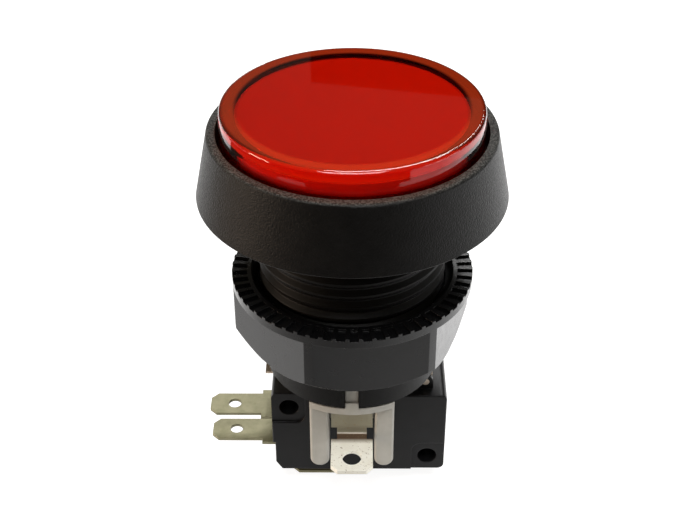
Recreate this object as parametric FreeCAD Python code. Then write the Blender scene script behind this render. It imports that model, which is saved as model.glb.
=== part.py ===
"""Round lighted pushbutton for a panel, with a lamp holder and a snap-action switch behind it.

Millimetres. The origin is the centre of the bezel's underside, which lies on the panel.
+Z runs along the barrel towards the lens and -Y faces the front lamp terminal.
"""

import FreeCAD, Part
import math
import os

Vec = FreeCAD.Vector

# Cutting shapes run this far past the faces that they open; edges are matched to the tolerance
overshoot = 1.0
tolerance = 1e-6

# Clearances
seat_gap = 0.05          # between pieces that lie in moulded pockets
rivet_gap = 0.025        # contact shanks in their holes
pivot_gap = 0.04         # lever ears round their pin
slide_gap = 0.4          # plunger in the barrel
lens_gap = 0.55          # lens in the bezel
pin_gap = 0.08           # switch pin in its guide
reach_gap = 0.15         # between pieces that push each other
stop_gap = 0.25          # plunger barbs under the spring ledge

# Button motion
button_travel = 1.65

# Lens, diffuser and plunger
lens_top_radius = 18.55
lens_bevel_width = 0.15
lens_bevel_drop = 1.85
lens_edge_round = 0.55
lens_stand = 3.5
lens_wall = 2.3
lens_top_thickness = 2.4
lens_floor_gap = 0.95
diffuser_thickness = 1.15
plunger_disc_thickness = 1.6
plunger_hub_length = 8.0
plunger_tube_wall = 1.4
plunger_leg_width = 3.6
finger_width = 6.0
barb_reach = 0.9
barb_height = 1.4
finger_root_rise = 1.0

# Bezel and barrel, one moulding
bezel_height = 10.25
bezel_rim_width = 1.25
bezel_flare = 2.0
bezel_rim_round = 0.5
bezel_base_chamfer = 0.3
bezel_floor_thickness = 1.6
barrel_bore_radius = 11.6
barrel_wall = 1.7
barrel_length = 30.5
barrel_end_chamfer = 0.3
spring_ledge_depth = 13.5
spring_ledge_thickness = 1.5
spring_ledge_gap = 0.3
key_slot_width = 2.1
key_slot_height = 3.8
thread_pitch = 2.0
thread_height = 0.6
thread_crest_width = 0.4
thread_foot_width = 1.9
thread_foot_sink = 0.05  # foot of the thread inside the barrel's wall
thread_top_gap = 2.2     # plain barrel under the bezel
thread_end_gap = 6.78    # plain barrel at its end

# Return spring
spring_wire = 0.9
spring_side_gap = 0.85
spring_turns = 5

# Mounting nut
nut_top_depth = 13.4
nut_height = 11.1
thread_gap = 0.15        # from the barrel's thread to the nut's bore
nut_wall = 1.95
nut_flange_width = 4.05
nut_flange_thickness = 1.6
nut_turn = 10.0          # degrees from the front to the middle of the nearest flat
nut_rib_count = 60
nut_rib_width = 0.6
nut_rib_height = 0.38
nut_rib_length = 2.3
nut_mouth_chamfer = 1.15
nut_base_chamfer = 2.0

# Lamp and its holder
lamp_radius = 5.0
lamp_length = 17.0
lamp_wedge_width = 9.0
lamp_wedge_thickness = 2.2
lamp_wedge_height = 8.6
lamp_neck_radius = 3.2
socket_gap = 0.7
socket_height = 8.0
socket_pocket_width = 9.6
socket_pocket_depth = 8.5
holder_base_height = 4.0
holder_fit_gap = 0.1
holder_lip_height = 1.17
leg_notch_gap = 0.5
tunnel_side_gap = 0.4    # lever in its tunnel through the holder
tunnel_top_gap = 0.3
fin_width = 2.95
fin_tab_gap = 0.325      # between a fin and the edge of the lamp terminal
fin_lead = 0.2           # how far a fin's face stands before the hanging strip
fin_length = 8.95        # down from the top of the switch
fin_edge_round = 0.45
holder_core_gap = 0.2
key_width = 1.95
key_height = 3.4
key_step_width = 2.0
key_step_height = 1.1
key_step_depth = 0.3

# Lamp terminals
lamp_tab_width = 6.35
lamp_tab_thickness = 0.8
lamp_tab_bend = 1.0
lamp_tab_run_gap = 0.1
lamp_tab_inset = 0.6     # hanging strip inside the barrel's bore
lamp_tab_blade_drop = 2.0
lamp_tab_reach = 7.95
lamp_tab_slope = 5.5     # degrees
lamp_tab_hole = 2.9
lamp_tab_hole_inset = 2.6
lamp_tab_chamfer = 1.0
lamp_tab_neck = 4.55
lamp_tab_notch_rise = 1.0
lamp_tab_notch_depth = 4.0
lamp_tab_notch_run = 1.7
lamp_contact_rise = 7.0

# Snap-action switch
switch_offset = 1.1      # from the barrel axis, along X
switch_drop = 4.33       # from the barrel's end to the top of the switch
switch_length = 27.8
switch_height = 15.9
switch_thickness = 10.3
switch_cover_thickness = 1.8
switch_wall = 1.4
switch_corner = 1.0
switch_edge_round = 0.25
switch_chamfer_x = 1.0
switch_chamfer_z = 1.6
switch_step_inset = 0.4
switch_step_height = 5.8
hole_inset = 2.8         # from the edges of the switch to the middle of a hole
hole_radius = 1.55
hole_boss_radius = 2.6
pad_width = 5.35
pad_height = 5.8
pad_corner = 1.6
pad_depth = 0.4

# Switch lever and its hinge
lever_width = 4.6
lever_thickness = 0.4
lever_rise = 2.15        # underside above the top of the switch
lever_overhang = 0.85    # free end past the end of the switch
lever_hinge_inset = 3.4
lever_hinge_rise = 1.3
lever_ear_radius = 1.1
lever_ear_thickness = 0.5
lever_pin_radius = 0.6
lug_gap = 0.2
lug_thickness = 0.8
lug_radius = 1.2

# Switch pin
pin_inset = 12.9         # from the lever's end of the switch
pin_radius = 1.5
pin_flange_radius = 2.2
pin_flange_height = 1.0
pin_tip_round = 0.6

# Switch terminals and contacts
tab_width = 4.75
tab_thickness = 0.5
tab_shoulder_width = 6.5
tab_shoulder_length = 1.9
tab_reach = 10.2
tab_hole = 2.1
tab_hole_inset = 3.9
tab_chamfer = 1.1
nc_tab_height = 9.55
no_tab_height = 4.0
contact_inset = 5.3      # from the tabs' end of the switch
contact_radius = 1.3
contact_height = 0.7
contact_shank_radius = 0.7
tab_inner_margin = 0.5
common_tab_depth = 3.25
common_tab_reach = 9.45
common_drop_inset = 12.35
common_bend = 0.75
blade_pivot_inset = 6.0
blade_thickness = 0.3
blade_width = 4.0
blade_end_margin = 0.6
pivot_post_rise = 1.0
rest_contact_gap = 0.05
made_contact_gap = 0.3
snap_spring_radius = 0.9
snap_spring_wire = 0.3
snap_spring_turns = 5
snap_hook_inset = 3.6
snap_hook_width = 2.0
snap_tab_gap = 2.3       # from the moving contact to the blade's spring tab
snap_tab_length = 1.5

# Levels and radii that follow from the sizes above
lens_wall_radius = lens_top_radius + lens_bevel_width
lens_inner_radius = lens_wall_radius - lens_wall
lens_top_z = bezel_height + lens_stand
lens_ceiling_z = lens_top_z - lens_top_thickness
lens_skirt_z = bezel_floor_thickness + button_travel + lens_floor_gap
diffuser_radius = lens_inner_radius - seat_gap
diffuser_top_z = lens_ceiling_z - seat_gap
disc_top_z = diffuser_top_z - diffuser_thickness
disc_bottom_z = disc_top_z - plunger_disc_thickness
hub_bottom_z = disc_bottom_z - plunger_hub_length

bezel_bore_radius = lens_wall_radius + lens_gap
bezel_rim_radius = bezel_bore_radius + bezel_rim_width
bezel_base_radius = bezel_rim_radius + bezel_flare
barrel_radius = barrel_bore_radius + barrel_wall
barrel_end_z = -barrel_length
ledge_top_z = -spring_ledge_depth
ledge_bottom_z = ledge_top_z - spring_ledge_thickness

hub_radius = barrel_bore_radius - slide_gap
spring_radius = barrel_bore_radius - spring_side_gap - spring_wire / 2
tube_radius = spring_radius - spring_wire / 2 - spring_side_gap
tube_bore_radius = tube_radius - plunger_tube_wall
ledge_bore_radius = tube_radius + spring_ledge_gap
barb_top_z = ledge_bottom_z - stop_gap
finger_bottom_z = barb_top_z - barb_height
finger_root_z = ledge_top_z + finger_root_rise

nut_bore_radius = barrel_radius + thread_height + thread_gap
nut_flange_radius = nut_bore_radius + nut_flange_width
nut_flat_radius = nut_bore_radius + nut_wall
nut_top_z = -nut_top_depth
nut_bottom_z = nut_top_z - nut_height

socket_radius = tube_bore_radius - socket_gap
holder_radius = barrel_bore_radius - holder_fit_gap
holder_lip_radius = barrel_radius - holder_fit_gap
holder_base_z = barrel_end_z + holder_base_height
socket_top_z = holder_base_z + socket_height
pocket_floor_z = socket_top_z - socket_pocket_depth
lamp_bottom_z = pocket_floor_z + seat_gap
lip_bottom_z = barrel_end_z - holder_lip_height
contact_offset = lamp_wedge_thickness / 2 + seat_gap + lamp_tab_thickness / 2
run_z = barrel_end_z - lamp_tab_run_gap - lamp_tab_thickness / 2
lamp_tab_drop = barrel_bore_radius - lamp_tab_inset
fin_depth = lamp_tab_drop + lamp_tab_thickness / 2 + fin_lead
holder_half_width = lamp_tab_width / 2 + fin_tab_gap + fin_width

switch_top_z = barrel_end_z - switch_drop
switch_bottom_z = switch_top_z - switch_height
switch_left_x = switch_offset - switch_length / 2
switch_right_x = switch_offset + switch_length / 2
switch_front_y = -switch_thickness / 2
switch_back_y = switch_thickness / 2
parting_y = switch_back_y - switch_cover_thickness
blade_top_z = switch_top_z - lamp_tab_blade_drop

hinge_x = switch_right_x - lever_hinge_inset
hinge_z = switch_top_z + lever_hinge_rise
lever_bottom_z = switch_top_z + lever_rise
lever_top_z = lever_bottom_z + lever_thickness
lever_free_x = switch_left_x - lever_overhang
leg_x = -(tube_radius + tube_bore_radius) / 2
leg_bottom_z = lever_top_z + reach_gap
lever_angle = button_travel / (hinge_x - leg_x)

pin_x = switch_right_x - pin_inset
pin_travel = lever_angle * (hinge_x - pin_x)
contact_x = switch_left_x + contact_inset
blade_pivot_x = switch_right_x - blade_pivot_inset
blade_angle = pin_travel / (blade_pivot_x - pin_x)
contact_travel = blade_angle * (blade_pivot_x - contact_x)
nc_tab_z = switch_bottom_z + nc_tab_height
no_tab_z = switch_bottom_z + no_tab_height
nc_face_z = nc_tab_z - tab_thickness / 2 - contact_height
no_face_z = no_tab_z + tab_thickness / 2 + contact_height
moving_top_z = nc_face_z - rest_contact_gap
moving_bottom_z = no_face_z + made_contact_gap + contact_travel
blade_z = (moving_top_z + moving_bottom_z) / 2
floor_z = switch_bottom_z + switch_wall
common_strip_z = floor_z + tab_thickness / 2 + seat_gap
common_tab_z = switch_bottom_z - common_tab_depth
common_drop_x = switch_left_x + common_drop_inset
pivot_post_x = blade_pivot_x + blade_thickness / 2 + seat_gap + tab_thickness / 2
snap_hook_x = blade_pivot_x - snap_hook_inset
snap_spring_z = blade_z - blade_thickness / 2 - snap_tab_length / 2 - snap_spring_radius / 2
snap_tab_x = contact_x + contact_radius + snap_tab_gap + blade_thickness


def box(x0, x1, y0, y1, z0, z1):
    return Part.makeBox(x1 - x0, y1 - y0, z1 - z0, Vec(x0, y0, z0))


def cylinder_z(radius, z0, z1, x=0.0, y=0.0):
    return Part.makeCylinder(radius, z1 - z0, Vec(x, y, z0), Vec(0, 0, 1))


def cylinder_y(radius, y0, y1, x, z):
    return Part.makeCylinder(radius, y1 - y0, Vec(x, y0, z), Vec(0, 1, 0))


def ring(outer_radius, inner_radius, z0, z1):
    return cylinder_z(outer_radius, z0, z1).cut(cylinder_z(inner_radius, z0, z1))


def revolve(profile):
    """Solid of revolution about Z from (radius, z) corners."""
    corners = [Vec(radius, 0, z) for radius, z in profile]
    face = Part.Face(Part.makePolygon(corners + corners[:1]))
    return face.revolve(Vec(0, 0, 0), Vec(0, 0, 1), 360)


def fuse(shapes):
    return shapes[0].multiFuse(shapes[1:]).removeSplitter()


def round_edges(shape, radius, wanted):
    """Fillets the edges for which wanted(edge) is true."""
    return shape.makeFillet(radius, [edge for edge in shape.Edges if wanted(edge)])


def is_circle_at(edge, radius, z):
    curve = edge.Curve
    if not isinstance(curve, Part.Circle):
        return False
    return abs(curve.Radius - radius) < tolerance and abs(curve.Center.z - z) < tolerance


def bent_strip(path, thickness, bend, to_point, along, width):
    """Sheet-metal strip: a flat path with rounded bends, given thickness, then width along a vector.

    path holds (a, b) corners in the strip's own plane and to_point places them in space.
    """
    half = thickness / 2
    points = [Vec(a, b, 0) for a, b in path]
    directions = [(q - p).normalize() for p, q in zip(points, points[1:])]
    normals = [Vec(-d.y, d.x, 0) for d in directions]

    def side(offset):
        edges = []
        start = points[0] + normals[0] * offset
        for index in range(1, len(points) - 1):
            before, after = directions[index - 1], directions[index]
            turn = before.getAngle(after)
            sign = 1 if before.cross(after).z > 0 else -1
            setback = bend * math.tan(turn / 2)
            enter = points[index] - before * setback
            leave = points[index] + after * setback
            centre = enter + normals[index - 1] * (bend * sign)
            enter = enter + normals[index - 1] * offset
            leave = leave + normals[index] * offset
            middle = ((enter - centre) + (leave - centre)).normalize()
            middle = centre + middle * (enter - centre).Length
            edges.append((start, enter))
            edges.append((enter, middle, leave))
            start = leave
        edges.append((start, points[-1] + normals[-1] * offset))
        return edges

    left, right = side(half), side(-half)
    outline = left + [(left[-1][-1], right[-1][-1])]
    outline += [tuple(reversed(edge)) for edge in reversed(right)] + [(right[0][0], left[0][0])]
    placed = [[to_point(p.x, p.y) for p in edge] for edge in outline]
    edges = [Part.Arc(*e).toShape() if len(e) == 3 else Part.makeLine(*e) for e in placed]
    face = Part.Face(Part.Wire(Part.__sortEdges__(edges)))
    solid = face.extrude(along * width)
    solid.translate(along * (-width / 2))
    return solid


def coil(radius, wire, length, turns):
    """Coil spring along +Z from the origin, whose wire starts and ends inside the length."""
    pitch = (length - wire) / turns
    path = Part.makeHelix(pitch, pitch * turns, radius)
    section = Part.Wire(Part.makeCircle(wire / 2, Vec(radius, 0, 0), Vec(0, 1, 0)))
    spring = Part.Wire(path).makePipeShell([section], True, True)
    spring.translate(Vec(0, 0, wire / 2))
    return spring


def barrel_thread():
    """Right-hand helical ridge round the barrel, with its foot in the barrel's wall."""
    half_foot = thread_foot_width / 2
    half_crest = thread_crest_width / 2
    foot_radius = barrel_radius - thread_foot_sink
    crest_radius = barrel_radius + thread_height
    start_z = barrel_end_z + thread_end_gap + half_foot
    rise = -thread_top_gap - half_foot - start_z
    section = Part.makePolygon([
        Vec(foot_radius, 0, -half_foot),
        Vec(crest_radius, 0, -half_crest),
        Vec(crest_radius, 0, half_crest),
        Vec(foot_radius, 0, half_foot),
        Vec(foot_radius, 0, -half_foot),
    ])
    ridge = Part.Wire(Part.makeHelix(thread_pitch, rise, barrel_radius)).makePipeShell([section], True, True)
    ridge.translate(Vec(0, 0, start_z))
    return ridge


def make_bezel_barrel():
    body = revolve([
        (barrel_bore_radius, barrel_end_z),
        (barrel_radius - barrel_end_chamfer, barrel_end_z),
        (barrel_radius, barrel_end_z + barrel_end_chamfer),
        (barrel_radius, 0),
        (bezel_base_radius - bezel_base_chamfer, 0),
        (bezel_base_radius, bezel_base_chamfer),
        (bezel_rim_radius, bezel_height),
        (bezel_bore_radius, bezel_height),
        (bezel_bore_radius, bezel_floor_thickness),
        (barrel_bore_radius, bezel_floor_thickness),
        (barrel_bore_radius, ledge_top_z),
        (ledge_bore_radius, ledge_top_z),
        (ledge_bore_radius, ledge_bottom_z),
        (barrel_bore_radius, ledge_bottom_z),
    ])
    body = round_edges(body, bezel_rim_round, lambda e: is_circle_at(e, bezel_rim_radius, bezel_height))
    body = body.fuse(barrel_thread())
    half = key_slot_width / 2
    reach = barrel_radius + overshoot
    slot_top = barrel_end_z + key_slot_height
    return body.cut(box(-half, half, -reach, reach, barrel_end_z - overshoot, slot_top))


def nut_rib_outline(z):
    """Closed outline of the nut's ribbed face: narrow ribs run out from a plain ring to the rim."""
    step = 2 * math.pi / nut_rib_count
    ring_radius = nut_flange_radius - nut_rib_length
    outer_half = math.asin(nut_rib_width / 2 / nut_flange_radius)
    inner_half = math.asin(nut_rib_width / 2 / ring_radius)

    def at(radius, angle):
        return Vec(radius * math.cos(angle), radius * math.sin(angle), z)

    edges = []
    for index in range(nut_rib_count):
        angle = math.radians(nut_turn) + index * step
        next_angle = angle + step
        rib_start = at(nut_flange_radius, angle - outer_half)
        rib_end = at(nut_flange_radius, angle + outer_half)
        foot_start = at(ring_radius, angle - inner_half)
        foot_end = at(ring_radius, angle + inner_half)
        next_foot = at(ring_radius, next_angle - inner_half)
        edges.append(Part.makeLine(foot_start, rib_start))
        edges.append(Part.Arc(rib_start, at(nut_flange_radius, angle), rib_end).toShape())
        edges.append(Part.makeLine(rib_end, foot_end))
        edges.append(Part.Arc(foot_end, at(ring_radius, angle + step / 2), next_foot).toShape())
    return Part.Wire(edges)


def nut_hexagon(z):
    """Closed hexagon whose middle flat faces the front, turned by nut_turn."""
    step = math.pi / 3
    front = math.radians(nut_turn - 90)
    corner_radius = nut_flat_radius / math.cos(step / 2)
    corners = []
    for index in range(7):
        angle = front + step / 2 + index * step
        corners.append(Vec(corner_radius * math.cos(angle), corner_radius * math.sin(angle), z))
    return Part.makePolygon(corners)


def make_mounting_nut():
    flange_bottom = nut_top_z - nut_flange_thickness
    groove_floor = nut_top_z - nut_rib_height
    hexagon = Part.Face(nut_hexagon(nut_bottom_z)).extrude(Vec(0, 0, nut_height - nut_flange_thickness))
    bevelled = revolve([
        (0, nut_bottom_z),
        (nut_flange_radius - nut_base_chamfer, nut_bottom_z),
        (nut_flange_radius, nut_bottom_z + nut_base_chamfer),
        (nut_flange_radius, flange_bottom),
        (0, flange_bottom),
    ])
    crown = Part.Face(nut_rib_outline(groove_floor)).extrude(Vec(0, 0, nut_rib_height))
    flange = cylinder_z(nut_flange_radius, flange_bottom, groove_floor)
    bore = revolve([
        (0, nut_bottom_z - overshoot),
        (nut_bore_radius, nut_bottom_z - overshoot),
        (nut_bore_radius, nut_top_z - nut_mouth_chamfer),
        (nut_bore_radius + nut_mouth_chamfer, nut_top_z),
        (nut_bore_radius + nut_mouth_chamfer, nut_top_z + overshoot),
        (0, nut_top_z + overshoot),
    ])
    return fuse([hexagon.common(bevelled), flange, crown]).cut(bore)


def make_lens_cap():
    body = revolve([
        (0, lens_top_z),
        (lens_top_radius, lens_top_z),
        (lens_wall_radius, lens_top_z - lens_bevel_drop),
        (lens_wall_radius, lens_skirt_z),
        (lens_inner_radius, lens_skirt_z),
        (lens_inner_radius, lens_ceiling_z),
        (0, lens_ceiling_z),
    ])
    return round_edges(body, lens_edge_round, lambda e: is_circle_at(e, lens_top_radius, lens_top_z))


def make_diffuser():
    return cylinder_z(diffuser_radius, disc_top_z, diffuser_top_z)


def make_plunger():
    body = revolve([
        (tube_bore_radius, disc_top_z),
        (diffuser_radius, disc_top_z),
        (diffuser_radius, disc_bottom_z),
        (hub_radius, disc_bottom_z),
        (hub_radius, hub_bottom_z),
        (tube_radius, hub_bottom_z),
        (tube_radius, finger_root_z),
        (tube_bore_radius, finger_root_z),
    ])
    finger_ring = revolve([
        (tube_bore_radius, finger_root_z),
        (tube_radius, finger_root_z),
        (tube_radius, barb_top_z),
        (tube_radius + barb_reach, barb_top_z),
        (tube_radius, finger_bottom_z),
        (tube_bore_radius, finger_bottom_z),
    ])
    reach = tube_radius + barb_reach + overshoot
    fingers = finger_ring.common(
        box(-finger_width / 2, finger_width / 2, -reach, reach, finger_bottom_z, finger_root_z))
    half_leg = plunger_leg_width / 2
    leg = ring(tube_radius, tube_bore_radius, leg_bottom_z, finger_root_z).common(
        box(-reach, 0, -half_leg, half_leg, leg_bottom_z, finger_root_z))
    return fuse([body, fingers, leg])


def make_return_spring():
    spring = coil(spring_radius, spring_wire, hub_bottom_z - ledge_top_z, spring_turns)
    spring.translate(Vec(0, 0, ledge_top_z))
    return spring


def lamp_terminal_path(top_z):
    """Corners (distance from the axis, z) from the lamp's base out to the tip of the blade."""
    blade_z_middle = blade_top_z - lamp_tab_thickness / 2
    slope = math.radians(lamp_tab_slope)
    tip = lamp_tab_drop + lamp_tab_reach * math.cos(slope)
    tip_z = blade_z_middle - lamp_tab_reach * math.sin(slope)
    return [
        (contact_offset, top_z),
        (contact_offset, run_z),
        (lamp_tab_drop, run_z),
        (lamp_tab_drop, blade_z_middle),
        (tip, tip_z),
    ]


def lamp_strip(top_z, extra=0.0):
    """The lamp terminal's bent strip at the front, enlarged by extra all round for its slot."""
    return bent_strip(
        lamp_terminal_path(top_z),
        lamp_tab_thickness + 2 * extra,
        lamp_tab_bend,
        lambda distance, z: Vec(0, -distance, z),
        Vec(1, 0, 0),
        lamp_tab_width + 2 * extra,
    )


def make_front_lamp_terminal():
    strip = lamp_strip(lamp_bottom_z + lamp_contact_rise)
    tip, tip_z = lamp_terminal_path(0)[-1]
    slope = math.radians(lamp_tab_slope)
    half = lamp_tab_width / 2
    notch_top = blade_top_z + lamp_tab_notch_rise
    notch_end = lamp_tab_drop + lamp_tab_notch_run
    cuts = []
    for side in (-1, 1):
        x_inner, x_outer = sorted((side * lamp_tab_neck / 2, side * (half + overshoot)))
        cuts.append(box(
            x_inner, x_outer, -notch_end, -lamp_tab_drop + overshoot,
            notch_top - lamp_tab_notch_depth, notch_top))
        corner = Part.makePolygon([
            Vec(side * half, -tip - overshoot, tip_z - overshoot),
            Vec(side * half, -tip + lamp_tab_chamfer, tip_z - overshoot),
            Vec(side * (half - lamp_tab_chamfer - overshoot), -tip - overshoot, tip_z - overshoot),
            Vec(side * half, -tip - overshoot, tip_z - overshoot),
        ])
        cuts.append(Part.Face(corner).extrude(Vec(0, 0, 2 * overshoot)))
    hole_y = -tip + lamp_tab_hole_inset * math.cos(slope)
    hole_axis = Vec(0, -math.sin(slope), math.cos(slope))
    hole_z = tip_z + lamp_tab_hole_inset * math.sin(slope)
    cuts.append(Part.makeCylinder(
        lamp_tab_hole / 2, 2 * lamp_tab_thickness,
        Vec(0, hole_y, hole_z) - hole_axis * lamp_tab_thickness, hole_axis))
    return strip.cut(cuts)


def turned_about_z(shape):
    """The same piece on the other side of the barrel axis."""
    turned = shape.copy()
    turned.rotate(Vec(0, 0, 0), Vec(0, 0, 1), 180)
    return turned


def make_lamp():
    neck_z = lamp_bottom_z + lamp_wedge_height
    crown_z = neck_z + lamp_length - lamp_radius
    shoulder_z = neck_z + lamp_radius - lamp_neck_radius
    neck = Vec(lamp_neck_radius, 0, neck_z)
    shoulder = Vec(lamp_radius, 0, shoulder_z)
    crown = Vec(lamp_radius, 0, crown_z)
    bend = lamp_radius * math.sqrt(0.5)
    dome = Part.Arc(crown, Vec(bend, 0, crown_z + bend), Vec(0, 0, crown_z + lamp_radius)).toShape()
    outline = Part.Wire([
        Part.makeLine(Vec(0, 0, neck_z), neck),
        Part.makeLine(neck, shoulder),
        Part.makeLine(shoulder, crown),
        dome,
        Part.makeLine(Vec(0, 0, crown_z + lamp_radius), Vec(0, 0, neck_z)),
    ])
    bulb = Part.Face(outline).revolve(Vec(0, 0, 0), Vec(0, 0, 1), 360)
    half_width = lamp_wedge_width / 2
    half_thickness = lamp_wedge_thickness / 2
    wedge = box(-half_width, half_width, -half_thickness, half_thickness, lamp_bottom_z, neck_z)
    return fuse([bulb, wedge])


def make_fin(side_x):
    """One of the front pair of arms that grip the switch, with a round lower end."""
    x_outer = side_x * holder_half_width
    x_inner = side_x * (holder_half_width - fin_width)
    middle = (x_outer + x_inner) / 2
    half = fin_width / 2
    bottom = switch_top_z - fin_length
    face_y = -fin_depth
    inner_y = switch_front_y - seat_gap
    outline = Part.Wire([
        Part.makeLine(Vec(middle - half, face_y, lip_bottom_z), Vec(middle - half, face_y, bottom + half)),
        Part.Arc(
            Vec(middle - half, face_y, bottom + half),
            Vec(middle, face_y, bottom),
            Vec(middle + half, face_y, bottom + half)).toShape(),
        Part.makeLine(Vec(middle + half, face_y, bottom + half), Vec(middle + half, face_y, lip_bottom_z)),
        Part.makeLine(Vec(middle + half, face_y, lip_bottom_z), Vec(middle - half, face_y, lip_bottom_z)),
    ])
    fin = Part.Face(outline).extrude(Vec(0, inner_y - face_y, 0))

    def on_front(edge):
        box_of_edge = edge.BoundBox
        flat = abs(box_of_edge.YMin - face_y) < tolerance and abs(box_of_edge.YMax - face_y) < tolerance
        return flat and box_of_edge.ZMin < lip_bottom_z - tolerance

    return round_edges(fin, fin_edge_round, on_front)


def make_lamp_holder():
    half = holder_half_width
    core_y = lamp_tab_drop - lamp_tab_thickness / 2 - holder_core_gap
    pieces = [
        cylinder_z(holder_radius, barrel_end_z, holder_base_z),
        cylinder_z(socket_radius, holder_base_z, socket_top_z),
        cylinder_z(holder_lip_radius, lip_bottom_z, barrel_end_z).common(
            box(-half, half, -barrel_radius, barrel_radius, lip_bottom_z, barrel_end_z)),
        box(-half, half, -core_y, core_y, switch_top_z, lip_bottom_z),
    ]
    for width, height in ((key_width, key_height), (key_step_width, key_step_height)):
        key_ring = ring(holder_lip_radius, socket_radius, barrel_end_z, barrel_end_z + height)
        pieces.append(key_ring.common(
            box(-width / 2, width / 2, -barrel_radius, barrel_radius, barrel_end_z, barrel_end_z + height)))
    for side_x in (-1, 1):
        fin = make_fin(side_x)
        pieces += [fin, turned_about_z(fin)]
    body = fuse(pieces)
    face_trim = ring(barrel_radius + overshoot, holder_lip_radius - key_step_depth,
                     barrel_end_z + key_step_height, holder_base_z)
    tunnel_half = lever_width / 2 + tunnel_side_gap
    tunnel_top = lever_top_z + tunnel_top_gap
    notch_half = plunger_leg_width / 2 + leg_notch_gap
    notch_x = tube_bore_radius - leg_notch_gap
    far = barrel_radius + switch_length
    pocket_half = socket_pocket_width / 2
    pocket_y = contact_offset + lamp_tab_thickness / 2 + seat_gap
    slot = lamp_strip(socket_top_z + overshoot, seat_gap)
    return body.cut([
        face_trim,
        box(-far, far, -tunnel_half, tunnel_half, switch_top_z - overshoot, tunnel_top),
        box(-far, -notch_x, -notch_half, notch_half, lip_bottom_z - overshoot, socket_top_z),
        box(notch_x, far, -notch_half, notch_half, lip_bottom_z - overshoot, socket_top_z),
        box(-pocket_half, pocket_half, -pocket_y, pocket_y, pocket_floor_z, socket_top_z + overshoot),
        slot,
        turned_about_z(slot),
    ])


def switch_block(y0, y1, outer_y):
    """The switch's outline between two depths, with rounded corners, chamfer and stepped end.

    The edges of its outer face, at depth outer_y, are rounded.
    """
    block = box(switch_left_x, switch_right_x, y0, y1, switch_bottom_z, switch_top_z)

    def rounded(edge):
        middle = edge.CenterOfMass
        along_y = abs(edge.BoundBox.YLength - (y1 - y0)) < tolerance
        lower_left = middle.x < switch_offset and middle.z < switch_top_z - switch_height / 2
        return along_y and not lower_left

    block = round_edges(block, switch_corner, rounded)
    step_x = switch_left_x + switch_step_inset
    outside_x = switch_left_x - overshoot
    below_z = switch_bottom_z - overshoot
    corner = Part.makePolygon([
        Vec(outside_x, y0, below_z),
        Vec(step_x + switch_chamfer_x, y0, below_z),
        Vec(step_x + switch_chamfer_x, y0, switch_bottom_z),
        Vec(step_x, y0, switch_bottom_z + switch_chamfer_z),
        Vec(step_x, y0, switch_bottom_z + switch_step_height),
        Vec(outside_x, y0, switch_bottom_z + switch_step_height),
        Vec(outside_x, y0, below_z),
    ])
    block = block.cut(Part.Face(corner).extrude(Vec(0, y1 - y0, 0)))

    def on_outer_face(edge):
        depths = edge.BoundBox
        return max(abs(depths.YMin - outer_y), abs(depths.YMax - outer_y)) < tolerance

    return round_edges(block, switch_edge_round, on_outer_face)


def switch_hole_places():
    """Centres (x, z) of the two mounting holes, upper left and lower right."""
    return [
        (switch_left_x + hole_inset, switch_top_z - hole_inset),
        (switch_right_x - hole_inset, switch_bottom_z + hole_inset),
    ]


def switch_pads(y0, y1):
    """Recesses round the mounting holes, each with one rounded inner corner."""
    pads = []
    for side in (-1, 1):
        x_edge = switch_offset + side * switch_length / 2
        z_edge = switch_top_z if side < 0 else switch_bottom_z
        inner_x = x_edge - side * pad_width
        inner_z = z_edge + side * pad_height
        x0, x1 = sorted((x_edge + side * overshoot, inner_x))
        z0, z1 = sorted((z_edge - side * overshoot, inner_z))
        pad = box(x0, x1, y0, y1, z0, z1)

        def inner_corner(edge):
            middle = edge.CenterOfMass
            return abs(middle.x - inner_x) < tolerance and abs(middle.z - inner_z) < tolerance

        pads.append(round_edges(pad, pad_corner, inner_corner))
    return pads


def switch_holes():
    y0 = switch_front_y - overshoot
    y1 = switch_back_y + overshoot
    return [cylinder_y(hole_radius, y0, y1, x, z) for x, z in switch_hole_places()]


def make_switch_case():
    block = switch_block(switch_front_y, parting_y, switch_front_y)
    cavity = box(
        switch_left_x + switch_wall + switch_step_inset, switch_right_x - switch_wall,
        switch_front_y + switch_wall, parting_y,
        floor_z, switch_top_z - switch_wall)
    for x, z in switch_hole_places():
        cavity = cavity.cut(cylinder_y(hole_boss_radius, switch_front_y, switch_back_y, x, z))
    shoulder = tab_shoulder_width / 2 + seat_gap
    half_slot = tab_thickness / 2 + seat_gap
    cuts = [cavity] + switch_holes() + switch_pads(switch_front_y - overshoot, switch_front_y + pad_depth)
    for tab_z in (nc_tab_z, no_tab_z):
        cuts.append(box(
            switch_left_x - overshoot, contact_x, -shoulder, parting_y,
            tab_z - half_slot, tab_z + half_slot))
    cuts.append(box(
        common_drop_x - half_slot, common_drop_x + half_slot, -tab_width / 2 - seat_gap, parting_y,
        switch_bottom_z - overshoot, floor_z + overshoot))
    cuts.append(common_strip(seat_gap))
    cuts.append(cylinder_z(
        pin_radius + pin_gap, switch_top_z - switch_wall - overshoot, switch_top_z + overshoot, pin_x))
    case = block.cut(cuts)
    lug_inner = lever_width / 2 + lug_gap
    pin_hole = cylinder_y(lever_pin_radius, -switch_thickness, switch_thickness, hinge_x, hinge_z)
    lugs = []
    for y0 in (-lug_inner - lug_thickness, lug_inner):
        upright = box(
            hinge_x - lug_radius, hinge_x + lug_radius, y0, y0 + lug_thickness,
            switch_top_z - seat_gap, hinge_z)
        top = cylinder_y(lug_radius, y0, y0 + lug_thickness, hinge_x, hinge_z)
        lugs.append(upright.fuse(top).cut(pin_hole))
    return fuse([case] + lugs)


def make_switch_cover():
    block = switch_block(parting_y, switch_back_y, switch_back_y)
    return block.cut(switch_holes() + switch_pads(switch_back_y - pad_depth, switch_back_y + overshoot))


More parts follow.
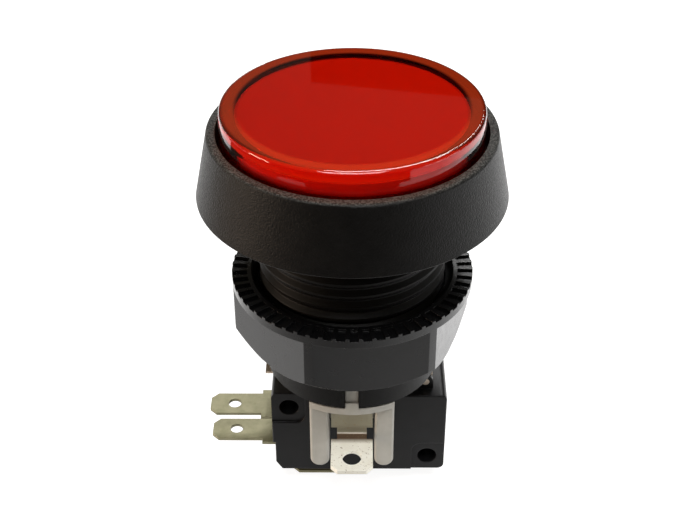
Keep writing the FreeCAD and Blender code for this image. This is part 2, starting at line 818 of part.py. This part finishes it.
def make_switch_lever():
    half = lever_width / 2
    plate = box(lever_free_x, hinge_x + lever_ear_radius, -half, half, lever_bottom_z, lever_top_z)
    pieces = [plate]
    for y0 in (-half, half - lever_ear_thickness):
        y1 = y0 + lever_ear_thickness
        ear = box(hinge_x - lever_ear_radius, hinge_x + lever_ear_radius, y0, y1, hinge_z, lever_bottom_z)
        pieces += [ear, cylinder_y(lever_ear_radius, y0, y1, hinge_x, hinge_z)]
    reach = half + overshoot
    bore = cylinder_y(lever_pin_radius + pivot_gap, -reach, reach, hinge_x, hinge_z)
    return fuse(pieces).cut(bore)


def make_lever_pin():
    reach = lever_width / 2 + lug_gap + lug_thickness
    return cylinder_y(lever_pin_radius, -reach, reach, hinge_x, hinge_z)


def make_switch_pin():
    top = lever_bottom_z - reach_gap
    flange_top = switch_top_z - switch_wall - reach_gap
    bottom = blade_z + blade_thickness / 2 + reach_gap
    pin = revolve([
        (0, bottom),
        (pin_radius - pin_tip_round, bottom),
        (pin_radius, bottom + pin_tip_round),
        (pin_radius, flange_top - pin_flange_height),
        (pin_flange_radius, flange_top - pin_flange_height),
        (pin_flange_radius, flange_top),
        (pin_radius, flange_top),
        (pin_radius, top),
        (0, top),
    ])
    pin = round_edges(pin, pin_tip_round, lambda e: is_circle_at(e, pin_radius, top))
    pin.translate(Vec(pin_x, 0, 0))
    return pin


def make_side_terminal(tab_z):
    """One of the two tabs at the end of the switch, from its contact to its chamfered tip."""
    tip_x = switch_left_x - tab_reach
    inner_x = contact_x + contact_radius + tab_inner_margin
    half = tab_width / 2
    shoulder = tab_shoulder_width / 2
    shoulder_x = switch_left_x - tab_shoulder_length
    outline = [
        (tip_x, half - tab_chamfer),
        (tip_x + tab_chamfer, half),
        (shoulder_x, half),
        (shoulder_x, shoulder),
        (switch_left_x + switch_wall, shoulder),
        (switch_left_x + switch_wall, half),
        (inner_x, half),
    ]
    corners = outline + [(x, -y) for x, y in reversed(outline)]
    points = [Vec(x, y, tab_z - tab_thickness / 2) for x, y in corners]
    plate = Part.Face(Part.makePolygon(points + points[:1])).extrude(Vec(0, 0, tab_thickness))
    bottom, top = tab_z - tab_thickness, tab_z + tab_thickness
    wire_hole = cylinder_z(tab_hole / 2, bottom, top, tip_x + tab_hole_inset)
    rivet_hole = cylinder_z(contact_shank_radius + rivet_gap, bottom, top, contact_x)
    return plate.cut([wire_hole, rivet_hole])


def make_fixed_contact(tab_z, facing):
    """Contact rivet in a tab; facing is the sign of Z that its head looks to."""
    face_z = tab_z + facing * tab_thickness / 2
    low, high = sorted((face_z, face_z + facing * contact_height))
    head = cylinder_z(contact_radius, low, high, contact_x)
    shank = cylinder_z(contact_shank_radius, tab_z - tab_thickness / 2, tab_z + tab_thickness / 2, contact_x)
    return fuse([head, shank])


def make_moving_contact():
    under = blade_z - blade_thickness / 2
    over = blade_z + blade_thickness / 2
    return fuse([
        cylinder_z(contact_radius, over, moving_top_z, contact_x),
        cylinder_z(contact_shank_radius, under, over, contact_x),
        cylinder_z(contact_radius, moving_bottom_z, under, contact_x),
    ])


def make_snap_blade():
    half = blade_width / 2
    under = blade_z - blade_thickness / 2
    over = blade_z + blade_thickness / 2
    free_x = contact_x - contact_radius - blade_end_margin
    plate = box(free_x, blade_pivot_x, -half, half, under, over)
    nose = cylinder_y(blade_thickness / 2, -half, half, blade_pivot_x, blade_z)
    rivet_hole = cylinder_z(contact_shank_radius + rivet_gap, under, over, contact_x)
    half_hook = snap_hook_width / 2
    spring_tab = box(
        snap_tab_x - blade_thickness, snap_tab_x, -half_hook, half_hook, under - snap_tab_length, under)
    return fuse([plate.cut(rivet_hole), nose, spring_tab])


def common_strip(extra=0.0):
    """Strip from the tab under the switch, up through its floor, along it and up to the blade's pivot."""
    path = [
        (common_drop_x - common_tab_reach, common_tab_z),
        (common_drop_x, common_tab_z),
        (common_drop_x, common_strip_z),
        (pivot_post_x, common_strip_z),
        (pivot_post_x, blade_z + pivot_post_rise),
    ]
    return bent_strip(
        path,
        tab_thickness + 2 * extra,
        common_bend,
        lambda x, z: Vec(x, 0, z),
        Vec(0, 1, 0),
        tab_width + 2 * extra,
    )


def make_common_terminal():
    strip = common_strip()
    tip_x = common_drop_x - common_tab_reach
    outside_x = tip_x - overshoot
    bottom = common_tab_z - overshoot
    half = tab_width / 2
    cuts = []
    for side in (-1, 1):
        corner = Part.makePolygon([
            Vec(outside_x, side * (half - tab_chamfer - overshoot), bottom),
            Vec(tip_x + tab_chamfer, side * half, bottom),
            Vec(outside_x, side * half, bottom),
            Vec(outside_x, side * (half - tab_chamfer - overshoot), bottom),
        ])
        cuts.append(Part.Face(corner).extrude(Vec(0, 0, 2 * overshoot)))
    cuts.append(cylinder_z(tab_hole / 2, bottom, common_tab_z + overshoot, tip_x + tab_hole_inset))
    half_hook = snap_hook_width / 2
    hook = box(
        snap_hook_x, snap_hook_x + tab_thickness, -half_hook, half_hook, common_strip_z, snap_spring_z)
    return fuse([strip.cut(cuts), hook])


def make_snap_spring():
    length = snap_hook_x - snap_tab_x - 2 * seat_gap
    spring = coil(snap_spring_radius, snap_spring_wire, length, snap_spring_turns)
    spring.rotate(Vec(0, 0, 0), Vec(0, 1, 0), 90)
    spring.translate(Vec(snap_tab_x + seat_gap, 0, snap_spring_z))
    return spring


front_terminal = make_front_lamp_terminal()
nodes = {
    "bezel_barrel": make_bezel_barrel(),
    "mounting_nut": make_mounting_nut(),
    "lens_cap": make_lens_cap(),
    "diffuser": make_diffuser(),
    "plunger": make_plunger(),
    "return_spring": make_return_spring(),
    "lamp_holder": make_lamp_holder(),
    "lamp": make_lamp(),
    "front_lamp_terminal": front_terminal,
    "rear_lamp_terminal": turned_about_z(front_terminal),
    "switch_case": make_switch_case(),
    "switch_cover": make_switch_cover(),
    "switch_lever": make_switch_lever(),
    "lever_pin": make_lever_pin(),
    "switch_pin": make_switch_pin(),
    "nc_terminal": make_side_terminal(nc_tab_z),
    "no_terminal": make_side_terminal(no_tab_z),
    "common_terminal": make_common_terminal(),
    "nc_contact": make_fixed_contact(nc_tab_z, -1),
    "no_contact": make_fixed_contact(no_tab_z, 1),
    "snap_blade": make_snap_blade(),
    "moving_contact": make_moving_contact(),
    "snap_spring": make_snap_spring(),
}

os.makedirs("parts", exist_ok=True)
for name, shape in nodes.items():
    shape.exportStep(f"parts/{name}.step")

print(f"button_press to lever_swing: {1000 / (hinge_x - leg_x):.4f} rad/m")
print(f"button_press to pin_press: {(hinge_x - pin_x) / (hinge_x - leg_x):.5f} m/m")
print(f"button_press to blade_snap: {1000 * blade_angle / button_travel:.4f} rad/m")
print(f"lever hinge at x {hinge_x:.3f} z {hinge_z:.3f}, blade pivot at x {blade_pivot_x:.3f} z {blade_z:.3f}")
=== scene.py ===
import bpy
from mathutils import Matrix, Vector


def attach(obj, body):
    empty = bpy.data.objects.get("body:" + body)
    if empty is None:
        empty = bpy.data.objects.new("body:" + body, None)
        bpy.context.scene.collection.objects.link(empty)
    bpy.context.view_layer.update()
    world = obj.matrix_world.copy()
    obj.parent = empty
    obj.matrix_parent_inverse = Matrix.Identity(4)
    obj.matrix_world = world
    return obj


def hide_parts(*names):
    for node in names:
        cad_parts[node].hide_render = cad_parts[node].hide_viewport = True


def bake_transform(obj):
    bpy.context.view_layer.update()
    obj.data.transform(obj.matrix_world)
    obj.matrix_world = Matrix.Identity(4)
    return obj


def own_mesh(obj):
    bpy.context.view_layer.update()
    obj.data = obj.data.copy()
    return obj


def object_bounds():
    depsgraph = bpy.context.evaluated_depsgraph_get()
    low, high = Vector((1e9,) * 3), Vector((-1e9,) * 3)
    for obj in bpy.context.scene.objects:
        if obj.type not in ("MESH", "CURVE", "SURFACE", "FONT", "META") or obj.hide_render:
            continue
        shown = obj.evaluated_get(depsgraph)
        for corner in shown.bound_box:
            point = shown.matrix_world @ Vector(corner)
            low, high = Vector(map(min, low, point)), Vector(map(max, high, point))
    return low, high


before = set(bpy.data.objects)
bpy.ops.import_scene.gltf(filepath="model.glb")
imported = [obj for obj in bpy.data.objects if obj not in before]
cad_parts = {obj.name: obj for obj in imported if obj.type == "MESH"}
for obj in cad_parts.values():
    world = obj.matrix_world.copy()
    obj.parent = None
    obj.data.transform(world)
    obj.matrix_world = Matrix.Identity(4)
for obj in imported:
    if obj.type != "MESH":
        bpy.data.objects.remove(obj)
cad_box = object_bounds()
MM = 0.001

# Camera, from the photograph's frame of 700 by 525
IMAGE_WIDTH = 700
FOCAL_PIXELS = 1252
CAMERA_PLACE = Vector((0.33, -154.5, 94.9)) * MM
CAMERA_TARGET = Vector((-0.34, 0.0, -12.9)) * MM
CAMERA_NEAR = 5 * MM
SENSOR_WIDTH = 36.0

# Lens: what each metre of its red plastic takes away, its surface where it is clear, cloudy or painted with
# shade, how much it bends light, how clear and how rough the cloudy part is, and how clear the ring on top
# is
RED_DENSITY = 900.0
RED_ABSORB = (0.95, 0.5, 0.0, 1)
CLEAR_RED = (0.58, 0.05, 0.01, 1)
CLOUD_RED = (0.30, 0.085, 0.035, 1)
# Painted shade at the ceiling's edge, where light falls off
CLOUD_EDGE_SHADE = (0.15, 0.03, 0.02, 1)
# Painted shade on the wall's foot, down in the gap under the bezel's rim
GAP_SHADE_RED = (0.03, 0.004, 0.003, 1)
LENS_IOR = 1.49
CLOUD_CLEARNESS = 0.15
CLOUD_FROST = 0.5
RING_CLEARNESS = 0.7

# Levels and radii on the lens where its finish changes
LENS_CEILING = 11.35 * MM
LENS_RING_FROM = 13.0 * MM
LENS_INNER_RADIUS = 16.4 * MM
LENS_EDGE_RADIUS = 18.55 * MM
LENS_CLEAR_FROM = 9.5 * MM
LENS_GAP_TOP = 10.9 * MM

# Black bezel: level of its rim, gloss of its plastic and roughness of the worn rim
RIM_TOP = 10.25 * MM
BEZEL_GLOSS = 0.18
RIM_ROUGHNESS = 0.75

# Lamp tabs: distance from the middle plane where the painted-shade strip ends, and where the bend ends
STRIP_FACE = 11.5 * MM
BEND_END = 12.6 * MM

# Floor: half its side, its grey, its glow to the camera, its added glow to other rays at the back and on the
# right, and the distance over which that rises
FLOOR_HALF_SIZE = 3.0
FLOOR_GREY = (0.37, 0.37, 0.37, 1)
FLOOR_GLOW = 0.9
BACK_GLOW = 1.2
RIGHT_GLOW = 0.45
GLOW_REACH = 0.05

# Light from all round: its tint, and its strength to the camera and to other rays
WORLD_TINT = (1, 0.9, 0.7, 1)
WORLD_SEEN = 2.0
WORLD_LIGHT = 0.10


def shader(name):
    """New node material and its principled shader."""
    material = bpy.data.materials.new(name)
    material.use_nodes = True
    return material, material.node_tree, material.node_tree.nodes["Principled BSDF"]


def add(tree, kind, **values):
    """Node of a kind, with its attributes and inputs set by name."""
    node = tree.nodes.new(kind)
    for key, value in values.items():
        if hasattr(node, key):
            setattr(node, key, value)
        else:
            node.inputs[key.replace("_", " ")].default_value = value
    return node


def axes_of(tree):
    """The X, Y and Z of a place in the part's own frame."""
    place = add(tree, "ShaderNodeTexCoord")
    axes = add(tree, "ShaderNodeSeparateXYZ")
    tree.links.new(place.outputs["Object"], axes.inputs["Vector"])
    return axes.outputs


def noise(tree, size, detail=4.0, roughness=0.55):
    """Noise in the part's own frame; size is a typical blotch in metres."""
    place = add(tree, "ShaderNodeTexCoord")
    texture = add(tree, "ShaderNodeTexNoise", Scale=1 / size, Detail=detail, Roughness=roughness)
    tree.links.new(place.outputs["Object"], texture.inputs["Vector"])
    return texture.outputs["Fac"]


def ramp(tree, source, low, high, first, last):
    """Colour ramp from first to last between two levels of the source."""
    node = add(tree, "ShaderNodeValToRGB")
    node.color_ramp.elements[0].position = low
    node.color_ramp.elements[1].position = high
    node.color_ramp.elements[0].color = (*first, 1)
    node.color_ramp.elements[1].color = (*last, 1)
    tree.links.new(source, node.inputs["Fac"])
    return node.outputs["Color"]


def blotches(tree, size, dark, light):
    """Blotches of two colours."""
    return ramp(tree, noise(tree, size), 0.35, 0.65, dark, light)


def rise(tree, source, start, end, low, high):
    """Maps a source from start and end to low and high, and holds it beyond them."""
    node = add(tree, "ShaderNodeMapRange")
    node.inputs["From Min"].default_value = start
    node.inputs["From Max"].default_value = end
    node.inputs["To Min"].default_value = low
    node.inputs["To Max"].default_value = high
    tree.links.new(source, node.inputs["Value"])
    return node.outputs["Result"]


def spread(tree, source, low, high):
    """Maps a noise, mostly between 0.3 and 0.7, to a range."""
    return rise(tree, source, 0.3, 0.7, low, high)


def combine(tree, operation, first, second):
    """Joins two sources with a math operation."""
    node = add(tree, "ShaderNodeMath", operation=operation)
    for socket, source in zip(node.inputs, (first, second)):
        tree.links.new(source, socket)
    return node.outputs["Value"]


def blend_color(tree, factor, first, second):
    """Goes from one colour to another as the factor rises from 0 to 1."""
    node = add(tree, "ShaderNodeMix", data_type="RGBA")
    tree.links.new(factor, node.inputs["Factor"])
    node.inputs["A"].default_value = first
    node.inputs["B"].default_value = second
    return node.outputs["Result"]


def cover(tree, factor, below, color):
    """Lays a colour over a coloured source where the factor is 1."""
    node = add(tree, "ShaderNodeMix", data_type="RGBA")
    tree.links.new(factor, node.inputs["Factor"])
    tree.links.new(below, node.inputs["A"])
    node.inputs["B"].default_value = (*color, 1)
    return node.outputs["Result"]


def bump(tree, source, depth, strength, normal):
    """Normal that follows a height, on top of another normal."""
    node = add(tree, "ShaderNodeBump", Strength=strength, Distance=depth)
    tree.links.new(source, node.inputs["Height"])
    tree.links.new(normal, node.inputs["Normal"])
    return node.outputs["Normal"]


def soft_edges(tree, radius):
    """Normal that rounds the edges by a radius."""
    return add(tree, "ShaderNodeBevel", samples=6, Radius=radius).outputs["Normal"]


def moulded(name, dark, light, blotch, rough, grain, grain_depth, strength, edge=0.12 * MM, gloss=0.5):
    """Moulded plastic: blotches of two colours, uneven gloss, fine grain and soft edges."""
    material, tree, principled = shader(name)
    principled.inputs["Specular IOR Level"].default_value = gloss
    tree.links.new(blotches(tree, blotch, dark, light), principled.inputs["Base Color"])
    grains = noise(tree, grain, detail=3.0)
    tree.links.new(spread(tree, grains, *rough), principled.inputs["Roughness"])
    normal = bump(tree, grains, grain_depth, strength, soft_edges(tree, edge))
    tree.links.new(normal, principled.inputs["Normal"])
    return material


def blasted(name, dark, light, worn):
    """Black plastic: a grainy bezel, a worn rim with pale specks that also paint its sparkle, and a smooth
    barrel.
    """
    material, tree, principled = shader(name)
    principled.inputs["Specular IOR Level"].default_value = BEZEL_GLOSS
    height = axes_of(tree)["Z"]
    tone = blotches(tree, 3 * MM, dark, light)
    rim = rise(tree, height, RIM_TOP - 0.3 * MM, RIM_TOP - 0.05 * MM, 0.0, 1.0)
    grains = noise(tree, 0.24 * MM, detail=2.0)
    # Pale specks on the rim: wear, and also a painted sparkling highlight
    specks = combine(tree, "MULTIPLY", rim, rise(tree, grains, 0.44, 0.6, 0.15, 1.0))
    tree.links.new(cover(tree, specks, tone, worn), principled.inputs["Base Color"])
    gloss = spread(tree, grains, 0.36, 0.54)
    rim_gloss = rise(tree, rim, 0.0, 1.0, 0.0, RIM_ROUGHNESS)
    tree.links.new(combine(tree, "MAXIMUM", gloss, rim_gloss), principled.inputs["Roughness"])
    grainy = rise(tree, height, -0.2 * MM, 0.1 * MM, 0.0, 1.0)
    relief = combine(tree, "MULTIPLY", grains, grainy)
    normal = bump(tree, relief, 0.12 * MM, 0.8, soft_edges(tree, 0.12 * MM))
    tree.links.new(normal, principled.inputs["Normal"])
    return material


def paint_tab_shade(tree, tone, strip, bend):
    """Paints shade on a lamp tab's upright strip, and a dark brown reflection and shade in its bend."""
    reach = add(tree, "ShaderNodeMath", operation="ABSOLUTE")
    tree.links.new(axes_of(tree)["Y"], reach.inputs[0])
    on_tab = rise(tree, reach.outputs["Value"], STRIP_FACE, STRIP_FACE + 0.2 * MM, 0.0, 1.0)
    near = rise(tree, reach.outputs["Value"], BEND_END, BEND_END + 1.0 * MM, 1.0, 0.0)
    # Painted shade on the upright strip, then a painted dark reflection and shade across the bend
    tone = cover(tree, rise(tree, on_tab, 0.0, 1.0, 1.0, 0.0), tone, strip)
    return cover(tree, combine(tree, "MINIMUM", on_tab, near), tone, bend)


def plated(name, dark, light, spots, spot_level, rough, metal=1.0, strip=None, bend=None):
    """Plated sheet metal: uneven tone, brown specks, faint marks; on lamp tabs, painted shade on strip and
    bend.
    """
    material, tree, principled = shader(name)
    tone = blotches(tree, 1.6 * MM, dark, light)
    if strip is not None:
        tone = paint_tab_shade(tree, tone, strip, bend)
    specks = noise(tree, 0.35 * MM, detail=6.0, roughness=0.7)
    mask = ramp(tree, specks, spot_level, spot_level + 0.06, (0, 0, 0), (1, 1, 1))
    tree.links.new(cover(tree, mask, tone, spots), principled.inputs["Base Color"])
    tree.links.new(spread(tree, noise(tree, 0.5 * MM), *rough), principled.inputs["Roughness"])
    normal = bump(tree, noise(tree, 0.25 * MM), 0.02 * MM, 0.25, soft_edges(tree, 0.1 * MM))
    tree.links.new(normal, principled.inputs["Normal"])
    principled.inputs["Metallic"].default_value = metal
    return material


def distance_from_axis(tree):
    """Distance of a place from the barrel's axis."""
    place = add(tree, "ShaderNodeTexCoord")
    flat = add(tree, "ShaderNodeVectorMath", operation="MULTIPLY")
    flat.inputs[1].default_value = (1, 1, 0)
    tree.links.new(place.outputs["Object"], flat.inputs[0])
    length = add(tree, "ShaderNodeVectorMath", operation="LENGTH")
    tree.links.new(flat.outputs["Vector"], length.inputs[0])
    return length.outputs["Value"]


def clear_red(name):
    """Clear red plastic, deeper with thickness, cloudy underneath and deep in the bezel, with painted shade.
    """
    material, tree, principled = shader(name)
    principled.inputs["IOR"].default_value = LENS_IOR
    height = axes_of(tree)["Z"]
    radius = distance_from_axis(tree)

    # Where it is cloudy: low in the bezel, and on the ceiling over the diffuser
    deep = rise(tree, height, LENS_CLEAR_FROM - 1 * MM, LENS_CLEAR_FROM, 1.0, 0.0)
    low = rise(tree, height, LENS_CEILING + 0.02 * MM, LENS_CEILING + 0.1 * MM, 1.0, 0.0)
    inner = rise(tree, radius, LENS_INNER_RADIUS - 0.1 * MM, LENS_INNER_RADIUS - 0.02 * MM, 1.0, 0.0)
    cloud = combine(tree, "MAXIMUM", deep, combine(tree, "MINIMUM", low, inner))

    # The paler ring on top, over the lens's wall
    outside = rise(tree, radius, LENS_INNER_RADIUS - 0.3 * MM, LENS_INNER_RADIUS + 0.3 * MM, 0.0, 1.0)
    within = rise(tree, radius, LENS_EDGE_RADIUS - 0.7 * MM, LENS_EDGE_RADIUS, 1.0, 0.0)
    top = rise(tree, height, LENS_RING_FROM, LENS_RING_FROM + 0.1 * MM, 0.0, 1.0)
    ring = combine(tree, "MINIMUM", top, combine(tree, "MINIMUM", outside, within))

    # Painted shade: darker at the ceiling's edge and where the wall goes down into the gap
    edge = rise(tree, radius, LENS_INNER_RADIUS - 0.5 * MM, LENS_INNER_RADIUS - 0.1 * MM, 0.0, 1.0)
    # The gap's painted shade: the wall's outer face below the gap's top
    below = rise(tree, height, LENS_GAP_TOP - 0.6 * MM, LENS_GAP_TOP, 1.0, 0.0)
    wall = rise(tree, radius, LENS_EDGE_RADIUS, LENS_EDGE_RADIUS + 0.05 * MM, 0.0, 1.0)
    gap = combine(tree, "MINIMUM", below, wall)

    color = add(tree, "ShaderNodeMix", data_type="RGBA")
    tree.links.new(cloud, color.inputs["Factor"])
    tree.links.new(blend_color(tree, gap, CLEAR_RED, GAP_SHADE_RED), color.inputs["A"])
    tree.links.new(blend_color(tree, edge, CLOUD_RED, CLOUD_EDGE_SHADE), color.inputs["B"])
    tree.links.new(color.outputs["Result"], principled.inputs["Base Color"])
    cloud_clear = rise(tree, cloud, 0.0, 1.0, 1.0, CLOUD_CLEARNESS)
    ring_clear = rise(tree, ring, 0.0, 1.0, 1.0, RING_CLEARNESS)
    clearness = combine(tree, "MINIMUM", cloud_clear, ring_clear)
    tree.links.new(clearness, principled.inputs["Transmission Weight"])
    polish = spread(tree, noise(tree, 2.5 * MM), 0.015, 0.04)
    frost = rise(tree, cloud, 0.0, 1.0, 0.0, CLOUD_FROST)
    tree.links.new(combine(tree, "MAXIMUM", polish, frost), principled.inputs["Roughness"])
    tree.links.new(soft_edges(tree, 0.15 * MM), principled.inputs["Normal"])

    # Red through its thickness, and light passes through it to what is inside
    output = tree.nodes["Material Output"]
    tint = add(tree, "ShaderNodeVolumeAbsorption", Density=RED_DENSITY)
    tint.inputs["Color"].default_value = RED_ABSORB
    tree.links.new(tint.outputs["Volume"], output.inputs["Volume"])
    through = add(tree, "ShaderNodeBsdfTransparent")
    path = add(tree, "ShaderNodeLightPath")
    mix = add(tree, "ShaderNodeMixShader")
    tree.links.new(path.outputs["Is Shadow Ray"], mix.inputs["Fac"])
    tree.links.new(principled.outputs["BSDF"], mix.inputs[1])
    tree.links.new(through.outputs["BSDF"], mix.inputs[2])
    tree.links.new(mix.outputs["Shader"], output.inputs["Surface"])
    return material


def dress_nodes(materials):
    """Gives each CAD node its finish."""
    for names, material in materials:
        for name in names:
            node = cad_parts[name]
            node.data.materials.clear()
            node.data.materials.append(material)


def free_copy(node_name, name):
    """Copy of a spring's own mesh that stands for the node, which it hides."""
    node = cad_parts[node_name]
    piece = bpy.data.objects.new(name, node.data.copy())
    bpy.context.scene.collection.objects.link(piece)
    piece.matrix_world = node.matrix_world
    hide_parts(node_name)
    return piece


def make_springs():
    """Free copies of both springs: the return spring's hangs from the housing body, the snap spring's is
    baked in place.
    """
    coil = free_copy("return_spring", "return_spring_coil")
    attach(coil, "housing")
    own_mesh(coil)
    coil = free_copy("snap_spring", "snap_spring_coil")
    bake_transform(coil)


def flat_piece(name, corners):
    """One four-cornered face as an object of its own."""
    mesh = bpy.data.meshes.new(name)
    piece = bpy.data.objects.new(name, mesh)
    bpy.context.scene.collection.objects.link(piece)
    mesh.from_pydata(corners, [], [(0, 1, 2, 3)])
    return piece


def make_floor():
    """White floor under the part, whose glow is stronger behind it and to its right."""
    size = FLOOR_HALF_SIZE
    z = cad_box[0].z
    floor = flat_piece("floor", [(-size, -size, z), (size, -size, z), (size, size, z), (-size, size, z)])
    material, tree, principled = shader("floor_white")
    principled.inputs["Base Color"].default_value = FLOOR_GREY
    principled.inputs["Roughness"].default_value = 0.9
    principled.inputs["Emission Color"].default_value = (1, 1, 1, 1)
    axes = axes_of(tree)
    to_back = rise(tree, axes["Y"], -GLOW_REACH, GLOW_REACH, 0.0, BACK_GLOW)
    to_right = rise(tree, axes["X"], 0.0, GLOW_REACH, 0.0, RIGHT_GLOW)
    path = add(tree, "ShaderNodeLightPath")
    glow = add(tree, "ShaderNodeMix")
    tree.links.new(path.outputs["Is Camera Ray"], glow.inputs["Factor"])
    tree.links.new(combine(tree, "ADD", to_back, to_right), glow.inputs["A"])
    glow.inputs["B"].default_value = FLOOR_GLOW
    tree.links.new(glow.outputs["Result"], principled.inputs["Emission Strength"])
    floor.data.materials.append(material)


def dark_card(name, start, end, start_top, end_top, shade):
    """Upright dark card between two (x, y) places, hidden from the camera and without a shadow."""
    foot = cad_box[0].z
    card = flat_piece(name, [(*start, foot), (*end, foot), (*end, end_top), (*start, start_top)])
    material, _, principled = shader(name)
    principled.inputs["Base Color"].default_value = shade
    principled.inputs["Specular IOR Level"].default_value = 0.0
    card.data.materials.append(material)
    card.visible_camera = False
    card.visible_shadow = False


def area_light(name, place, target, size, power, color=(1, 1, 1)):
    """Soft rectangular light that looks at a target."""
    data = bpy.data.lights.new(name, "AREA")
    data.shape = "RECTANGLE"
    data.size, data.size_y = size
    data.energy = power
    data.color = color
    light = bpy.data.objects.new(name, data)
    bpy.context.scene.collection.objects.link(light)
    light.location = place
    light.visible_camera = False
    light.rotation_mode = "QUATERNION"
    light.rotation_quaternion = (Vector(target) - Vector(place)).to_track_quat("-Z", "Y")


def make_light():
    """Dim warm light all round, four soft lights, and dark cards for the reflections."""
    world = bpy.data.worlds.new("studio")
    world.use_nodes = True
    tree = world.node_tree
    background = tree.nodes["Background"]
    background.inputs["Color"].default_value = WORLD_TINT
    path = add(tree, "ShaderNodeLightPath")
    strength = rise(tree, path.outputs["Is Camera Ray"], 0.0, 1.0, WORLD_LIGHT, WORLD_SEEN)
    tree.links.new(strength, background.inputs["Strength"])
    bpy.context.scene.world = world
    area_light("key_light", (0.1, 0.4, 0.45), (0.0, 0.0, 0.0), (0.28, 0.2), 2.6)
    area_light("front_light", (0.0, -0.2, 0.45), (0, 0, -0.03), (0.32, 0.25), 2.7)
    area_light("right_light", (0.45, -0.12, 0.02), (0, 0, 0), (0.3, 0.1), 0.35)
    area_light("left_light", (-0.45, -0.08, 0.01), (0, 0, 0), (0.2, 0.09), 1.3, (1, 0.78, 0.6))
    dark_card("front_card", (-0.2, -0.1), (0.1, -0.1), 0.04, 0.04, (0.05, 0.04, 0.03, 1))
    dark_card("left_card", (-0.11, -0.1), (-0.11, 0.05), 0.0, 0.0, (0.1, 0.07, 0.05, 1))
    dark_card("back_card", (-0.025, 0.5), (0.4, 0.5), 0.262, 0.307, (0.003, 0.003, 0.003, 1))


def make_camera():
    """Camera at the photograph's angle."""
    data = bpy.data.cameras.new("camera")
    data.sensor_width = SENSOR_WIDTH
    data.lens = FOCAL_PIXELS / IMAGE_WIDTH * SENSOR_WIDTH
    data.clip_start = CAMERA_NEAR
    camera = bpy.data.objects.new("camera", data)
    bpy.context.scene.collection.objects.link(camera)
    camera.location = CAMERA_PLACE
    camera.rotation_mode = "QUATERNION"
    camera.rotation_quaternion = (CAMERA_TARGET - CAMERA_PLACE).to_track_quat("-Z", "Y")
    bpy.context.scene.camera = camera


# Bezel: dark and light tone, and the tone of its worn rim's pale specks, which also paint its sparkling
# highlight
bezel_black = blasted(
    "bezel_black", (0.002, 0.0018, 0.0016), (0.0035, 0.0032, 0.0028), (0.06, 0.059, 0.054))

# Other plastics and the lamp: dark and light tone, size of the blotches, range of roughness,
# and the grain's size, depth and strength
nut_black = moulded(
    "nut_black", (0.003, 0.003, 0.0034), (0.0045, 0.0045, 0.005), 4 * MM,
    (0.22, 0.28), 1.5 * MM, 0.01 * MM, 0.05)
switch_black = moulded(
    "switch_black", (0.004, 0.004, 0.0045), (0.006, 0.006, 0.0065), 3 * MM,
    (0.34, 0.44), 0.3 * MM, 0.015 * MM, 0.15, edge=0.22 * MM, gloss=0.24)
holder_grey = moulded(
    "holder_grey", (0.42, 0.405, 0.36), (0.48, 0.465, 0.42), 3 * MM,
    (0.4, 0.52), 0.4 * MM, 0.01 * MM, 0.2)
plunger_white = moulded(
    "plunger_white", (0.70, 0.68, 0.62), (0.76, 0.74, 0.70), 3 * MM,
    (0.4, 0.5), 0.4 * MM, 0.01 * MM, 0.2)
diffuser_white = moulded(
    "diffuser_white", (0.76, 0.72, 0.66), (0.82, 0.79, 0.74), 3 * MM,
    (0.5, 0.6), 0.4 * MM, 0.01 * MM, 0.2)
pin_plastic = moulded(
    "pin_plastic", (0.66, 0.64, 0.58), (0.72, 0.70, 0.66), 2 * MM,
    (0.35, 0.45), 0.3 * MM, 0.01 * MM, 0.2)
lamp_glass = moulded(
    "lamp_glass", (0.78, 0.78, 0.76), (0.84, 0.84, 0.82), 2 * MM,
    (0.05, 0.1), 0.5 * MM, 0.005 * MM, 0.1)

# Metals: dark and light tone, colour and level of the specks, range of roughness
# Lamp tabs: the strip colour is painted shade, the bend colour a painted dark reflection and shade
lamp_tab_metal = plated(
    "lamp_tab_metal", (0.95, 0.92, 0.80), (0.99, 0.97, 0.86), (0.30, 0.22, 0.12), 0.6,
    (0.34, 0.46), metal=0.3, strip=(0.31, 0.29, 0.215), bend=(0.10, 0.06, 0.035))
switch_tab_metal = plated(
    "switch_tab_metal", (0.205, 0.195, 0.11), (0.26, 0.245, 0.15), (0.17, 0.15, 0.08), 0.68,
    (0.36, 0.5), metal=0.5)
spring_steel = plated(
    "spring_steel", (0.5, 0.5, 0.5), (0.62, 0.62, 0.62), (0.35, 0.33, 0.3), 0.72, (0.25, 0.35))
lever_steel = plated(
    "lever_steel", (0.66, 0.55, 0.44), (0.74, 0.63, 0.52), (0.3, 0.22, 0.15), 0.7,
    (0.35, 0.45), metal=0.4)
contact_silver = plated(
    "contact_silver", (0.72, 0.71, 0.68), (0.82, 0.81, 0.78), (0.4, 0.38, 0.35), 0.7, (0.2, 0.3))
blade_copper = plated(
    "blade_copper", (0.66, 0.40, 0.24), (0.78, 0.50, 0.32), (0.35, 0.2, 0.1), 0.7, (0.28, 0.38))
red_lens = clear_red("red_lens")

dress_nodes([
    (["bezel_barrel"], bezel_black),
    (["mounting_nut"], nut_black),
    (["lens_cap"], red_lens),
    (["diffuser"], diffuser_white),
    (["plunger"], plunger_white),
    (["lamp_holder"], holder_grey),
    (["lamp"], lamp_glass),
    (["front_lamp_terminal", "rear_lamp_terminal"], lamp_tab_metal),
    (["switch_case", "switch_cover"], switch_black),
    (["nc_terminal", "no_terminal", "common_terminal"], switch_tab_metal),
    (["return_spring", "snap_spring"], spring_steel),
    (["switch_lever", "lever_pin"], lever_steel),
    (["switch_pin"], pin_plastic),
    (["nc_contact", "no_contact", "moving_contact"], contact_silver),
    (["snap_blade"], blade_copper),
])

make_springs()
make_floor()
make_light()
make_camera()
bpy.context.scene.view_settings.view_transform = "Standard"
